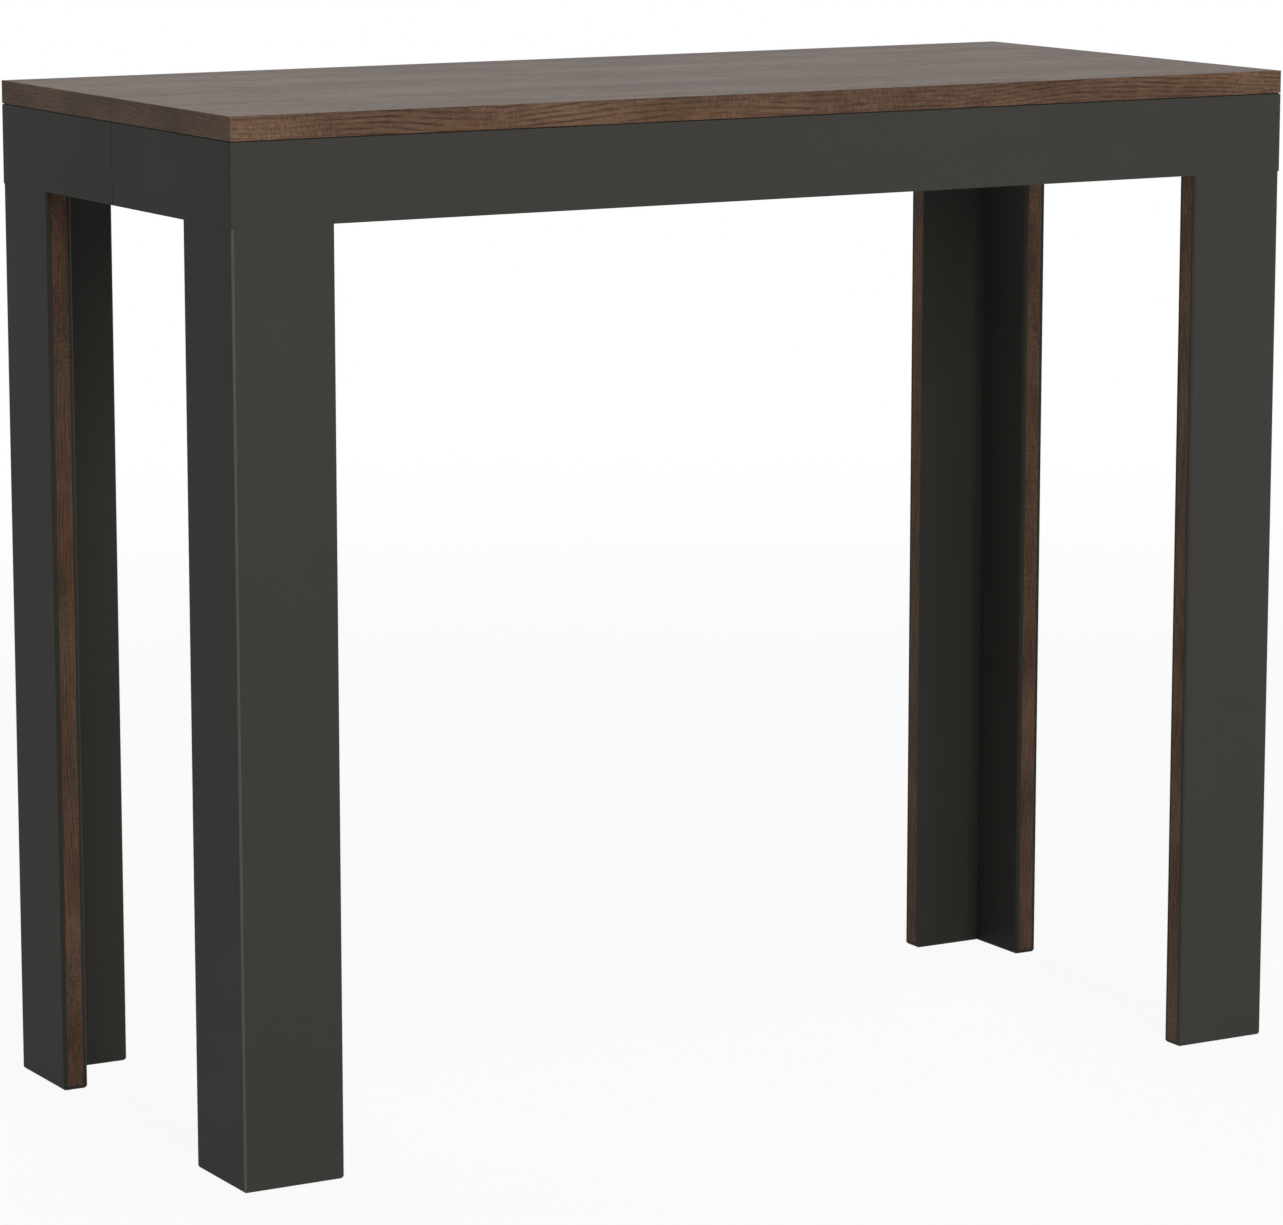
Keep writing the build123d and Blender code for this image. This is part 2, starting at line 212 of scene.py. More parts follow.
class Graph:
    """The node tree of one material or of the world."""

    def __init__(self, owner: bpy.types.Material | bpy.types.World) -> None:
        """Empties the owner's tree, ready for new nodes."""
        owner.use_nodes = True
        self.owner = owner
        self.tree = owner.node_tree
        self.tree.nodes.clear()

    def node(
        self,
        kind: str,
        settings: dict[str, Any] | None = None,
        sockets: dict[str | int, Any] | None = None,
        output: str | int = 0,
    ) -> Socket:
        """Adds one node.

        Args:
            kind: The node's type.
            settings: The node's own settings, set first. "stops" fills its colour ramp.
            sockets: A number, a colour or a Socket for each input that isn't left as it is.
            output: The output that is wanted.

        Returns:
            The output, or an empty Socket for a node that has none.
        """
        made = self.tree.nodes.new(kind)
        for name, value in (settings or {}).items():
            if name == "stops":
                self._fill_ramp(made.color_ramp, value)
            else:
                setattr(made, name, value)
        for name, value in (sockets or {}).items():
            if isinstance(value, Socket):
                self.tree.links.new(value.link, made.inputs[name])
            else:
                made.inputs[name].default_value = value
        return Socket(self, made.outputs[output] if len(made.outputs) else None)

    @staticmethod
    def _fill_ramp(ramp: bpy.types.ColorRamp, stops: Sequence[tuple[float, Colour]]) -> None:
        """Gives a colour ramp its stops.

        Args:
            ramp: The ramp, with Blender's own two stops.
            stops: Each stop's place from 0 to 1, and its colour.
        """
        while len(ramp.elements) < len(stops):
            ramp.elements.new(1.0)
        for element, (place, colour) in zip(ramp.elements, stops):
            element.position = place
            element.color = colour

    def place(self) -> Socket:
        """Returns the surface point in the object's own coordinates, which move with its body."""
        return self.node("ShaderNodeTexCoord", output="Object")

    def dot(self, vector: Socket, direction: Point3) -> Socket:
        """Returns how far a vector goes in a direction."""
        sockets = {0: vector, 1: direction}
        return self.node("ShaderNodeVectorMath", {"operation": "DOT_PRODUCT"}, sockets, "Value")

    def vector(self, x: Value, y: Value, z: Value) -> Socket:
        """Returns a vector from three values."""
        return self.node("ShaderNodeCombineXYZ", sockets={0: x, 1: y, 2: z})

    def noise(
        self, vector: Socket, scale: float = 1.0, detail: float = 2.0, roughness: float = 0.5
    ) -> Socket:
        """Returns soft noise about 0.

        Args:
            vector: Where it is read.
            scale: How many features there are to a unit.
            detail: How many finer layers are added.
            roughness: How strong the finer layers are.

        Returns:
            Noise from about -0.5 to 0.5.
        """
        sockets = {"Vector": vector, "Scale": scale, "Detail": detail, "Roughness": roughness}
        return self.node("ShaderNodeTexNoise", sockets=sockets) - 0.5

    def drawn_out(
        self,
        ways: Sequence[Point3],
        scales: Sequence[float],
        detail: float = 2.0,
        roughness: float = 0.5,
    ) -> Socket:
        """Returns soft noise that is drawn out along a finish's own directions.

        Args:
            ways: The three directions.
            scales: How many features there are to a metre along each of them.
            detail: How many finer layers are added.
            roughness: How strong the finer layers are.

        Returns:
            Noise from about -0.5 to 0.5.
        """
        place = self.place()
        point = self.vector(*(self.dot(place, way) * scale for way, scale in zip(ways, scales)))
        return self.noise(point, 1.0, detail, roughness)

    def cells(self, scale: float) -> Socket:
        """Returns a random level from 0 to 1 for each of many small cells, with so many to a metre."""
        sockets = {"Vector": self.place(), "Scale": scale}
        return self.dot(self.node("ShaderNodeTexVoronoi", sockets=sockets, output="Color"), MEAN)

    def sine(self, angle: Socket) -> Socket:
        """Returns the sine of an angle."""
        return self.node("ShaderNodeMath", {"operation": "SINE"}, {0: angle})

    def step(self, value: Socket, low: float, high: float) -> Socket:
        """Returns a smooth step from 0 at the low value to 1 at the high one."""
        sockets = {"Value": value, "From Min": low, "From Max": high}
        return self.node("ShaderNodeMapRange", {"interpolation_type": "SMOOTHSTEP"}, sockets)

    def mix(self, factor: Value, first: Any, second: Any) -> Socket:
        """Returns a colour between two colours."""
        sockets = {0: factor, 6: first, 7: second}
        return self.node("ShaderNodeMix", {"data_type": "RGBA"}, sockets, 2)

    def ramp(self, value: Socket, stops: Sequence[tuple[float, Colour]]) -> Socket:
        """Returns the colour that a ramp has at a value."""
        return self.node("ShaderNodeValToRGB", {"stops": stops}, {0: value})

    def bump(self, height: Socket, distance: float) -> Socket:
        """Returns a normal that follows a height, in metres for a height of 1."""
        return self.node("ShaderNodeBump", sockets={"Height": height, "Distance": distance})

    def surface(self, **sockets: Any) -> bpy.types.Material:
        """Closes a material with a Principled shader.

        Args:
            sockets: The shader's inputs, with underscores for spaces.

        Returns:
            The finished material.
        """
        named = {name.replace("_", " "): value for name, value in sockets.items()}
        shader = self.node("ShaderNodeBsdfPrincipled", sockets=named)
        self.node("ShaderNodeOutputMaterial", sockets={"Surface": shader})
        return self.owner


# ---------------------------------------------------------------------------
# Finishes
# ---------------------------------------------------------------------------
@dataclass(frozen=True)
class Finish(ABC):
    """A finish that is built once and worn by many pieces."""

    name: str
    slot: str

    def material(self) -> bpy.types.Material:
        """Returns the finish's material, which is built at its first use."""
        found = bpy.data.materials.get(self.name)
        return found or self.build(Graph(bpy.data.materials.new(self.name)))

    @abstractmethod
    def build(self, graph: Graph) -> bpy.types.Material:
        """Builds the material in an empty graph and returns it."""


@dataclass(frozen=True)
class WalnutDecor(Finish):
    """Walnut-look decor: bent growth rings between stretches of fine cross figure, with pores and fibres.

    The shares say how strongly each feature shows, and the ring's sizes are in metres.
    """

    grain: Grain
    dark: Colour
    middle: Colour
    light: Colour
    warm: Colour
    ring_spacing: float
    bend: float
    waver: float
    ragged: float = 1.4 * MM
    ring_share: float = 0.2
    streak_share: float = 0.5
    patch_share: float = 0.2
    fleck_share: float = 0.1
    speckle_share: float = 0.1
    warm_share: float = 0.2
    fibre_share: float = 0.45
    pore_share: float = 0.16
    sheen_level: float = 0.3
    roughness: float = 0.5
    relief: float = 0.06 * MM

    def build(self, graph: Graph) -> bpy.types.Material:
        """Builds the decor.

        Args:
            graph: The empty graph of its material.

        Returns:
            The material.
        """

        def read(along: float, across: float, detail: float = 2.0, roughness: float = 0.5) -> Socket:
            """Returns noise with its own scale along and across the grain."""
            return graph.drawn_out(self.grain.value, (along, across, across), detail, roughness)

        sway = read(2.6, 5.0, 1.0) * self.bend + read(9.0, 18.0, 1.0) * self.waver
        sway = sway + read(60.0, 120.0) * self.ragged
        across, depth = (graph.dot(graph.place(), way) for way in self.grain.value[1:])
        ring = graph.sine((across + depth * 0.4 + sway) * (math.tau / self.ring_spacing)) * 0.5 + 0.5
        ringed = graph.step(read(9.0, 7.0, 1.0), -0.14, 0.06)
        late = ring ** 3.0 * graph.step(read(45.0, 240.0), -0.18, 0.12) * (0.35 + ringed * 0.65)
        streak = read(1.3, 24.0, 4.0, 0.6)
        fibre = read(70.0, 620.0, 3.0, 0.65)
        pore = graph.step(read(130.0, 1300.0, 1.0), 0.1, 0.22)
        patch = read(13.0, 16.0, 3.0, 0.65)
        fleck = read(620.0, 170.0, 2.0, 0.6) * (1.0 - ringed * 0.75)
        speckle = read(420.0, 640.0, 3.0, 0.7)
        shade = 0.6 + streak * self.streak_share + patch * self.patch_share + fibre * self.fibre_share
        shade = shade + fleck * self.fleck_share + speckle * self.speckle_share
        shade = shade - late * self.ring_share - pore * self.pore_share
        colour = graph.ramp(shade, [(0.08, self.dark), (0.5, self.middle), (0.92, self.light)])
        warmth = graph.step(read(6.0, 40.0), 0.0, 0.3) * self.warm_share
        return graph.surface(
            Base_Color=graph.mix(warmth, colour, self.warm),
            Roughness=self.roughness - fibre * 0.16 + pore * 0.12,
            Specular_IOR_Level=self.sheen_level,
            Normal=graph.bump(fibre * 0.6 - pore - late * 0.3, self.relief),
        )


@dataclass(frozen=True)
class Melamine(Finish):
    """Plain matt melamine: a fine pearl, faint clouds and a little handling wear."""

    base: Colour
    worn: Colour
    sheen_level: float = 0.06
    roughness: float = 0.52

    def build(self, graph: Graph) -> bpy.types.Material:
        """Builds the melamine.

        Args:
            graph: The empty graph of its material.

        Returns:
            The material.
        """
        place = graph.place()
        cloud = graph.noise(place, 7.0, 3.0)
        grain = graph.noise(place, 1300.0, 1.0)
        pearl = graph.noise(place, 2600.0, 2.0)
        rub = graph.step(graph.noise(place, 38.0, 4.0, 0.7), 0.12, 0.3)
        wear = 0.28 + cloud * 0.5 + grain * 0.5 + rub * 0.08
        return graph.surface(
            Base_Color=graph.mix(wear, self.base, self.worn),
            Roughness=self.roughness + cloud * 0.12 + grain * 0.1 - rub * 0.06,
            Specular_IOR_Level=self.sheen_level,
            Normal=graph.bump(pearl, FINE_RELIEF),
        )


@dataclass(frozen=True)
class Extrusion(Finish):
    """Mill-finish aluminium with die lines along the bar."""

    base: Colour
    shadow: Colour
    roughness: float = 0.36

    def build(self, graph: Graph) -> bpy.types.Material:
        """Builds the aluminium.

        Args:
            graph: The empty graph of its material.

        Returns:
            The material.
        """
        line = graph.drawn_out(AXES, (1700.0, 3.0, 1700.0))
        broad = graph.drawn_out(AXES, (240.0, 1.5, 240.0))
        stain = graph.noise(graph.place(), 24.0, 3.0)
        colour = graph.mix(0.4 + line * 0.7 + broad * 0.5 + stain * 0.3, self.shadow, self.base)
        roughness = self.roughness + line * 0.2 + stain * 0.12
        normal = graph.bump(line + broad * 0.6, FINE_RELIEF)
        return graph.surface(Base_Color=colour, Metallic=1.0, Roughness=roughness, Normal=normal)


@dataclass(frozen=True)
class Nylon(Finish):
    """Moulded nylon, slightly waxy."""

    base: Colour
    shadow: Colour
    roughness: float = 0.42

    def build(self, graph: Graph) -> bpy.types.Material:
        """Builds the nylon.

        Args:
            graph: The empty graph of its material.

        Returns:
            The material.
        """
        place = graph.place()
        flow = graph.noise(place, 90.0, 3.0)
        peel = graph.noise(place, 1500.0, 2.0)
        colour = graph.mix(0.6 + flow * 0.8, self.shadow, self.base)
        roughness = self.roughness + flow * 0.15
        return graph.surface(Base_Color=colour, Roughness=roughness, Normal=graph.bump(peel, FINE_RELIEF))


@dataclass(frozen=True)
class ZincSteel(Finish):
    """Zinc-plated steel: small cool and warm patches, with fine scratches."""

    base: Colour
    warm: Colour
    shadow: Colour
    roughness: float = 0.38
    scratch_ways: tuple[Point3, ...] = ((90.0, 60.0, 0.0), (0.0, 90.0, 2400.0), (2400.0, 0.0, 90.0))

    def build(self, graph: Graph) -> bpy.types.Material:
        """Builds the plating.

        Args:
            graph: The empty graph of its material.

        Returns:
            The material.
        """
        level = graph.cells(420.0) - 0.5
        stain = graph.noise(graph.place(), 60.0, 4.0)
        scratch = graph.drawn_out(self.scratch_ways, (1.0, 1.0, 1.0))
        plated = graph.mix(0.5 + stain * 1.6, self.base, self.warm)
        colour = graph.mix(0.25 + level * 0.5 + scratch * 0.3, plated, self.shadow)
        roughness = self.roughness + level * 0.16 + stain * 0.2
        normal = graph.bump(scratch + level * 0.5, FINE_RELIEF)
        return graph.surface(Base_Color=colour, Metallic=1.0, Roughness=roughness, Normal=normal)


@dataclass(frozen=True)
class Beech(Finish):
    """Plain beech with short rays, its grain along a dowel."""

    base: Colour
    dark: Colour
    roughness: float = 0.62
    relief: float = 0.05 * MM

    def build(self, graph: Graph) -> bpy.types.Material:
        """Builds the beech.

        Args:
            graph: The empty graph of its material.

        Returns:
            The material.
        """
        fibre = graph.drawn_out(Grain.DOWEL.value, (60.0, 900.0, 900.0), 3.0)
        ray = graph.step(graph.drawn_out(Grain.DOWEL.value, (300.0, 1600.0, 1600.0)), 0.1, 0.2)
        colour = graph.mix(0.3 + fibre * 0.9 + ray * 0.4, self.base, self.dark)
        normal = graph.bump(fibre - ray, self.relief)
        return graph.surface(Base_Color=colour, Roughness=self.roughness + fibre * 0.2, Normal=normal)


@dataclass(frozen=True)
class DecorBoard(Finish):
    """A board with walnut faces, whose cut edges show the chipboard, with a dark band painted along their
    foot as painted shade.
    """

    decor: WalnutDecor
    chip_light: Colour
    chip_dark: Colour
    painted_shade: Colour
    painted_shade_top: float
    painted_shade_fade: float = 0.1 * MM
    chip_roughness: float = 0.85
    chip_relief: float = 0.2 * MM

    def build(self, graph: Graph) -> bpy.types.Material:
        """Builds both looks and picks one by the way the surface faces.

        Args:
            graph: The empty graph of its material.

        Returns:
            The material.
        """
        self.decor.build(graph)
        decor = next(node for node in graph.tree.nodes if node.type == "BSDF_PRINCIPLED")
        output = next(node for node in graph.tree.nodes if node.type == "OUTPUT_MATERIAL")
        level = graph.cells(620.0) + graph.noise(graph.place(), 300.0) * 0.4
        # The lowest part of the cut edge, in the shadow gap under the edging, is painted dark: painted
        # shade.
        height = graph.dot(graph.place(), UP)
        above_painted_shade = graph.step(height, self.painted_shade_top - self.painted_shade_fade, self.painted_shade_top)
        colour = graph.mix(above_painted_shade, self.painted_shade, graph.mix(level, self.chip_dark, self.chip_light))
        relief = graph.bump(level, self.chip_relief)
        look = {"Base Color": colour, "Roughness": self.chip_roughness, "Normal": relief}
        core = graph.node("ShaderNodeBsdfPrincipled", sockets=look)
        upright = graph.dot(graph.node("ShaderNodeTexCoord", output="Normal"), UP) ** 2.0
        choice = {0: graph.step(upright, 0.3, 0.6), 1: core, 2: Socket(graph, decor.outputs[0])}
        shader = graph.node("ShaderNodeMixShader", sockets=choice)
        graph.tree.links.new(shader.link, output.inputs["Surface"])
        return graph.owner


# How high the painted shade reaches up the board's cut edge.
PAINTED_SHADE_DEPTH = 1.0 * MM

TOP_DECOR = DecorBoard(
    name="walnut_top_board",
    slot="walnut_decor",
    decor=WalnutDecor(
        name="walnut_top",
        slot="walnut_decor",
        grain=Grain.TOP,
        dark=tone(40, 32, 27),
        middle=tone(83, 70, 61),
        light=tone(138, 120, 107),
        warm=tone(104, 78, 62),
        ring_spacing=0.0085,
        bend=0.11,
        waver=0.012,
        ring_share=0.13,
        streak_share=0.6,
        patch_share=0.4,
        fleck_share=0.4,
        speckle_share=0.2,
        warm_share=0.15,
        sheen_level=0.28,
        roughness=0.56,
    ),
    chip_light=tone(196, 166, 126),
    chip_dark=tone(112, 84, 56),
    # The dark colour of the painted shade along the foot of the cut edge.
    painted_shade=tone(30, 24, 21),
    painted_shade_top=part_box("rear_top")[0][2] + PAINTED_SHADE_DEPTH,
)
LONG_EDGING = WalnutDecor(
    name="walnut_long_edging",
    slot="walnut_edging",
    grain=Grain.LONG_EDGE,
    dark=tone(42, 28, 21),
    middle=tone(90, 69, 55),
    light=tone(138, 109, 88),
    warm=tone(124, 84, 52),
    ring_spacing=0.0036,
    bend=0.05,
    waver=0.012,
    ring_share=0.34,
    streak_share=0.35,
    patch_share=0.6,
    fleck_share=0.6,
    speckle_share=0.24,
    warm_share=0.3,
    sheen_level=0.12,
    roughness=0.55,
)
SHORT_EDGING = replace(
    LONG_EDGING,
    name="walnut_short_edging",
    grain=Grain.SHORT_EDGE,
    ring_share=0.16,
    fleck_share=0.3,
    speckle_share=0.2,
    warm_share=0.1,
)
LEG_EDGING = replace(LONG_EDGING, name="walnut_leg_edging", grain=Grain.UPRIGHT, ring_share=0.2)
ANTHRACITE = Melamine("anthracite_melamine", "anthracite_decor", tone(62, 61, 57), tone(72, 71, 67))
# A lighter copy of the anthracite for the legs' outer corner bevels: a painted highlight.
CORNER_HIGHLIGHT = replace(ANTHRACITE, name="corner_highlight_melamine", base=tone(90, 89, 85), worn=tone(104, 103, 98))
ALUMINIUM = Extrusion("mill_aluminium", "extruded_aluminium", tone(214, 216, 219), tone(158, 160, 164))
NYLON = Nylon("black_nylon", "nylon", tone(38, 38, 39), tone(26, 26, 27))
ZINC = ZincSteel(
    name="zinc_plated_steel",
    slot="zinc_steel",
    base=tone(196, 200, 206),
    warm=tone(206, 200, 184),
    shadow=tone(134, 137, 142),
)
BEECH = Beech("beech_dowel", "beech", tone(206, 170, 128), tone(158, 116, 78))


# ---------------------------------------------------------------------------
# Mesh work
# ---------------------------------------------------------------------------
def body_of(node: str) -> str:
    """Returns the name of the body that a CAD node rides on."""
    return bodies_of(frame["nodes"][node])[0]


def new_object(mesh: bmesh.types.BMesh, name: str) -> bpy.types.Object:
    """Turns a bmesh into an object of the scene.

    Args:
        mesh: The shape, which is used up.
        name: The object's name.

    Returns:
        The object.
    """
    data = bpy.data.meshes.new(name)
    mesh.to_mesh(data)
    mesh.free()
    made = bpy.data.objects.new(name, data)
    bpy.context.scene.collection.objects.link(made)
    return made


def place_piece(
    mesh: bmesh.types.BMesh,
    name: str,
    finish: Finish,
    body: str,
    replaced: Sequence[str] = (),
    smooth: bool = False,
    marked: Finish | None = None,
) -> bpy.types.Object:
    """Turns a bmesh into a piece that wears a finish and rides on a body.

    Args:
        mesh: The piece's shape in the row frame, which is used up.
        name: The piece's name.
        finish: What it wears.
        body: The body that it rides on.
        replaced: The CAD nodes that it stands for.
        smooth: Whether its round faces are shaded smooth.
        marked: What its faces of material index 1 wear.

    Returns:
        The piece.
    """
    bmesh.ops.recalc_face_normals(mesh, faces=mesh.faces)
    piece = new_object(mesh, name)
    piece.data.materials.append(finish.material())
    if marked:
        piece.data.materials.append(marked.material())
    if smooth:
        piece.data.shade_smooth()
        piece.data.set_sharp_from_angle(angle=SMOOTH)
    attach(piece, body)
    if replaced:
        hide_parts(*replaced)
    LOG.info("%s: %d faces, in %s, on %s", name, len(piece.data.polygons), finish.name, body)
    return piece


def node_mesh(node: str) -> bmesh.types.BMesh:
    """Copies a CAD node's solid with its triangles joined into flat faces.

    Args:
        node: The node's name.

    Returns:
        The welded copy.
    """
    mesh = bmesh.new()
    mesh.from_mesh(frame["nodes"][node].data)
    bmesh.ops.remove_doubles(mesh, verts=mesh.verts, dist=WELD)
    bmesh.ops.dissolve_limit(mesh, angle_limit=FLAT, verts=mesh.verts, edges=mesh.edges)
    return mesh


def soften(
    mesh: bmesh.types.BMesh,
    radius: float,
    segments: int = 3,
    mating: Callable[[bmesh.types.BMFace], bool] = lambda face: False,
) -> bmesh.types.BMesh:
    """Rounds a solid's sharp edges, apart from those of its mating faces.

    Args:
        mesh: The solid.
        radius: The rounding's size.
        segments: How many faces each rounding has.
        mating: Says which faces keep their edges sharp.

    Returns:
        The same bmesh.
    """
    kept = {face for face in mesh.faces if mating(face)}
    edges = [
        edge
        for edge in mesh.edges
        if len(edge.link_faces) == 2
        and edge.calc_face_angle(0.0) > SHARP
        and kept.isdisjoint(edge.link_faces)
    ]
    bmesh.ops.bevel(
        mesh,
        geom=edges,
        offset=radius,
        offset_type="OFFSET",
        segments=segments,
        profile=0.5,
        affect="EDGES",
        clamp_overlap=True,
    )
    bmesh.ops.recalc_face_normals(mesh, faces=mesh.faces)
    mesh.normal_update()
    return mesh


def rounded(points: Sequence[Point2], radius: float, steps: int = 2) -> list[Point2]:
    """Rounds the corners of a closed outline.

    Args:
        points: The corners in order.
        radius: How far the rounding reaches along each side, at most.
        steps: How many sides each rounding has.

    Returns:
        The rounded outline.
    """
    made: list[Point2] = []
    for index, corner in enumerate(points):
        here = Vector(corner)
        before = Vector(points[index - 1]) - here
        after = Vector(points[(index + 1) % len(points)]) - here
        reach = min(radius, before.length * CORNER_SHARE, after.length * CORNER_SHARE)
        start, end = here + before.normalized() * reach, here + after.normalized() * reach
        for step in range(steps + 1):
            share = step / steps
            point = start * (1 - share) ** 2 + here * (2 * share * (1 - share)) + end * share**2
            made.append((point.x, point.y))
    return made


def rectangle(low: Point2, high: Point2) -> list[Point2]:
    """Returns the corners of a rectangle, anticlockwise."""
    return [(low[0], low[1]), (high[0], low[1]), (high[0], high[1]), (low[0], high[1])]


def circle(radius: float, sides: int) -> list[Point2]:
    """Returns the points of a circle about 0, anticlockwise."""
    turns = [math.tau * index / sides for index in range(sides)]
    return [(radius * math.cos(turn), radius * math.sin(turn)) for turn in turns]


def extruded(
    loops: Sequence[Sequence[Point2]], start: float, end: float, axes: Matrix
) -> bmesh.types.BMesh:
    """Extrudes a section along its own Z axis.

    Args:
        loops: The section's outline, and then the outlines of its hollows.
        start: Where it starts along the axis.
        end: Where it ends.
        axes: Turns the section's own axes into the row frame.

    Returns:
        The closed solid.
    """
    mesh = bmesh.new()
    for level in (start, end):
        for loop in loops:
            ring = [mesh.verts.new(axes @ Vector((x, y, level))) for x, y in loop]
            for first, second in zip(ring, ring[1:] + ring[:1]):
                mesh.edges.new((first, second))
    mesh.verts.ensure_lookup_table()
    count = len(mesh.verts) // 2
    mesh.verts.index_update()
    near = [edge for edge in mesh.edges if edge.verts[0].index < count]
    far = [edge for edge in mesh.edges if edge.verts[0].index >= count]
    pairs = [(edge.verts[0].index, edge.verts[1].index) for edge in near]
    for edges in (near, far):
        bmesh.ops.triangle_fill(mesh, use_beauty=True, use_dissolve=False, edges=edges)
    mesh.verts.ensure_lookup_table()
    for first, second in pairs:
        mesh.faces.new([mesh.verts[i] for i in (first, second, second + count, first + count)])
    bmesh.ops.dissolve_limit(mesh, angle_limit=FLAT / 2, verts=mesh.verts, edges=mesh.edges)
    return mesh


def walled(
    mesh: bmesh.types.BMesh, rings: Sequence[Sequence[Vector]]
) -> list[list[bmesh.types.BMVert]]:
    """Adds the side faces between rings that have as many points each.

    Args:
        mesh: The bmesh that they are added to.
        rings: The rings in order.

    Returns:
        The corners of each ring.
    """
    made = [[mesh.verts.new(point) for point in ring] for ring in rings]
    for lower, upper in zip(made, made[1:]):
        for index in range(len(lower)):
            after = (index + 1) % len(lower)
            mesh.faces.new((lower[index], lower[after], upper[after], upper[index]))
    return made


def lofted(mesh: bmesh.types.BMesh, rings: Sequence[Sequence[Vector]]) -> None:
    """Adds a closed solid through rings that have as many points each.

    Args:
        mesh: The bmesh that it is added to.
        rings: The rings in order.
    """
    made = walled(mesh, rings)
    mesh.faces.new(made[0])
    mesh.faces.new(made[-1])


def solids_of(node: str) -> list[list[Vector]]:
    """Parts a CAD node's mesh into its solids.

    Args:
        node: The node's name.

    Returns:
        The corners of each solid.
    """
    mesh = node_mesh(node)
    left = set(mesh.verts)
    solids = []
    while left:
        reached = [left.pop()]
        corners = []
        while reached:
            vert = reached.pop()
            corners.append(vert.co.copy())
            for edge in vert.link_edges:
                other = edge.other_vert(vert)
                if other in left:
                    left.discard(other)
                    reached.append(other)
        solids.append(corners)
    mesh.free()
    return sorted(solids, key=lambda corners: [round(x, 4) for x in sum(corners, Vector((0, 0, 0)))])


def box_of(corners: Sequence[Vector]) -> tuple[Vector, Vector]:
    """Returns the lowest and the highest corner of a solid's box."""
    low = Vector([min(corner[axis] for corner in corners) for axis in range(3)])
    return low, Vector([max(corner[axis] for corner in corners) for axis in range(3)])


def is_mitre(face: bmesh.types.BMFace) -> bool:
    """Says whether a face is one of the broad diagonal ones, and not a bevel."""
    diagonal = abs(abs(face.normal.x) - abs(face.normal.y)) < SLANT and abs(face.normal.z) < SLANT
    return diagonal and face.calc_area() > MITRE_AREA


